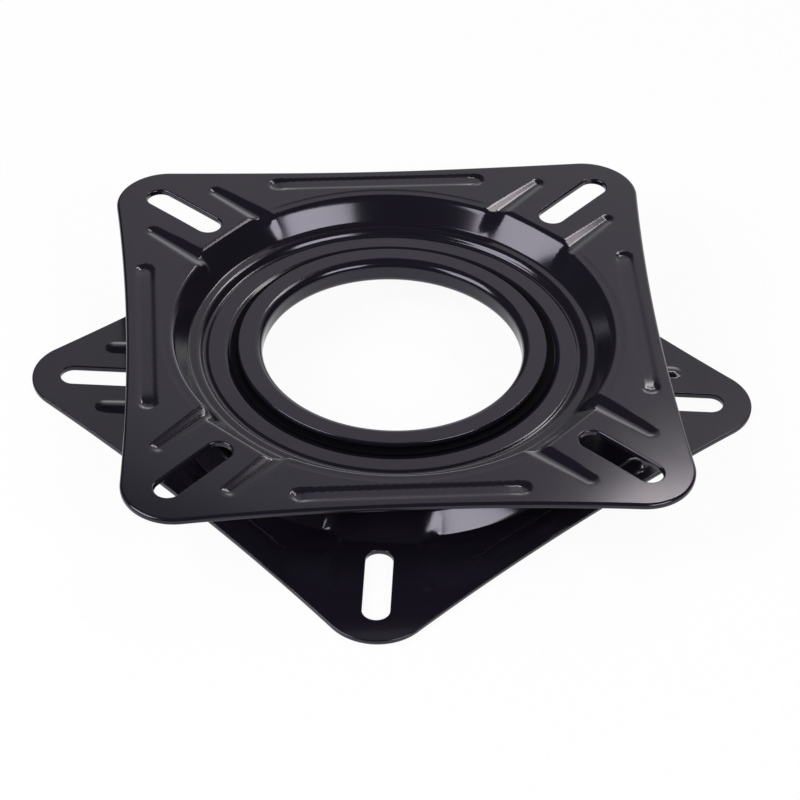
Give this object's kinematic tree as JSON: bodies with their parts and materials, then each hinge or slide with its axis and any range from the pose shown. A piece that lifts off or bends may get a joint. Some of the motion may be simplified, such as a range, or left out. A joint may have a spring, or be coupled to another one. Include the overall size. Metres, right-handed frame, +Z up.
{
  "type": "seat swivel plate",
  "caption": "Two black pressed-steel square plates that turn on a ball row about an open centre, with a slot at each corner for bolting a seat to its base.",
  "frame": {"origin": "centre of the lower plate's seating face, on the turning axis", "axes": "+Z up along the turning axis, X and Y along the lower plate's bolt slots"},
  "size_m": [0.2328, 0.2328, 0.0274],
  "materials": {
    "black_coat": "gloss black dip coat",
    "ball_steel": "polished",
    "cage_nylon": "natural moulded",
    "glide_acetal": "satin moulded"
  },
  "bodies": {
    "base": {"lower_plate": "black_coat"},
    "seat_plate": {"upper_plate": "black_coat", "glide_ring": "glide_acetal"},
    "ball_train": {"bearing_balls": "ball_steel", "ball_cage": "cage_nylon"}
  },
  "joints": [
    {"name": "swivel", "type": "hinge", "parent": "base", "child": "seat_plate", "pos_m": [0, 0, 0.0137], "axis": [0, 0, 1], "continuous": true},
    {"name": "ball_orbit", "type": "hinge", "parent": "base", "child": "ball_train", "pos_m": [0, 0, 0.0137], "axis": [0, 0, 1], "continuous": true}
  ],
  "couplings": [
    {"joint": "ball_orbit", "follows": "swivel", "ratio": 0.5}
  ]
}
